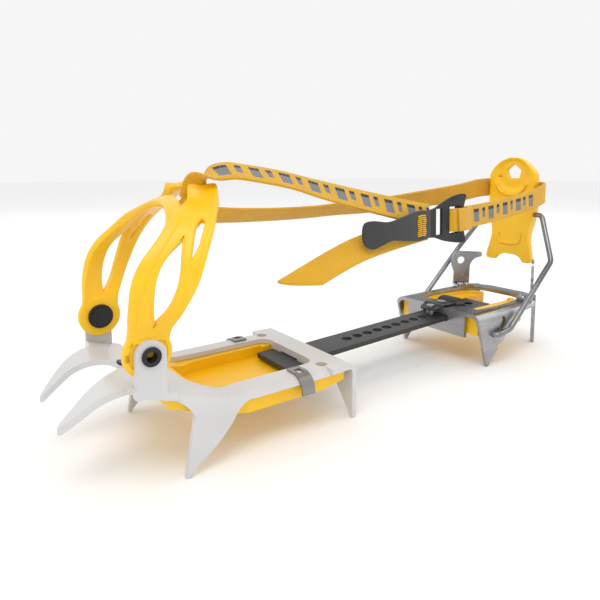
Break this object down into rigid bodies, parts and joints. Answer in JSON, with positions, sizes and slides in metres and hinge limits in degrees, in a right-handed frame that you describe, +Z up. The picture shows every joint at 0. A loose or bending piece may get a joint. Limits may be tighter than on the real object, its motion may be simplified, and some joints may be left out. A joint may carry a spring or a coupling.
{
  "type": "crampon",
  "caption": "Step-in crampon: front plate with curved points, toe cradle, sliding linking bar, heel plate with wire bail and lever, ankle strap with buckle.",
  "frame": {"origin": "Middle of the whole crampon at ground level, under the points.", "axes": "+Z up, +Y from the toe towards the heel, X across the boot."},
  "size_m": [0.094, 0.3682, 0.1473],
  "materials": {
    "plate_white": "satin powder coat on the front plate",
    "moulded_yellow": "satin moulded plastic",
    "spring_steel": "bright spring steel",
    "bar_grey": "dark hard coat on steel",
    "heel_steel": "polished steel",
    "wire_steel": "drawn steel wire",
    "dark_steel": "black steel",
    "webbing_yellow": "ribbed woven webbing",
    "tab_fabric": "coated fabric"
  },
  "bodies": {
    "front": {"front_plate": "plate_white", "front_snow_plate": "moulded_yellow", "snow_clip_right": "spring_steel", "snow_clip_left": "spring_steel", "front_eyelet": "dark_steel", "toe_rivet_right": "wire_steel", "toe_rivet_left": "wire_steel", "toe_washer_right": "dark_steel", "toe_washer_left": "dark_steel", "strap_near": "webbing_yellow", "strap_far": "webbing_yellow", "strap_tail": "webbing_yellow", "strap_keeper": "webbing_yellow", "buckle_frame": "dark_steel", "buckle_bar": "dark_steel"},
    "cradle": {"toe_cradle": "moulded_yellow"},
    "bar": {"linking_bar": "bar_grey"},
    "heel": {"heel_plate": "heel_steel", "heel_post_right": "heel_steel", "heel_post_left": "heel_steel", "post_rivets_right": "heel_steel", "post_rivets_left": "heel_steel", "heel_snow_plate": "moulded_yellow", "latch_leaf": "dark_steel", "latch_rivet": "spring_steel", "strap_far_rear": "webbing_yellow", "strap_near_rear": "webbing_yellow"},
    "latch": {"latch_spring": "dark_steel", "latch_pin": "spring_steel"},
    "bail": {"heel_bail": "wire_steel"},
    "lever": {"heel_lever": "moulded_yellow", "strap_wrap": "webbing_yellow"},
    "tab": {"pull_tab": "tab_fabric"}
  },
  "joints": [
    {"name": "cradle_tilt", "type": "hinge", "parent": "front", "child": "cradle", "pos_m": [0, -0.1507, 0.0597], "axis": [1, 0, 0], "range_deg": [-8, 6]},
    {"name": "bar_rock", "type": "hinge", "parent": "front", "child": "bar", "pos_m": [0, -0.0523, 0.0256], "axis": [1, 0, 0], "range_deg": [-1.5, 1]},
    {"name": "heel_slide", "type": "slide", "parent": "bar", "child": "heel", "axis": [0, 0.9995, 0.0332], "range_m": [-0.027, 0]},
    {"name": "latch_lift", "type": "hinge", "parent": "heel", "child": "latch", "pos_m": [0, 0.0821, 0.038], "axis": [-1, 0, 0], "range_deg": [0, 14], "stiffness_Nm_per_rad": 0.05},
    {"name": "bail_swing", "type": "hinge", "parent": "heel", "child": "bail", "pos_m": [0, 0.0946, 0.0225], "axis": [1, 0, 0], "range_deg": [-4, 10]},
    {"name": "lever_swing", "type": "hinge", "parent": "bail", "child": "lever", "pos_m": [0, 0.1753, 0.101], "axis": [1, 0, 0], "range_deg": [-10, 12]},
    {"name": "tab_lift", "type": "hinge", "parent": "front", "child": "tab", "pos_m": [0.033, 0.0273, 0.104], "axis": [0, 0, 1], "range_deg": [0, 50]}
  ]
}
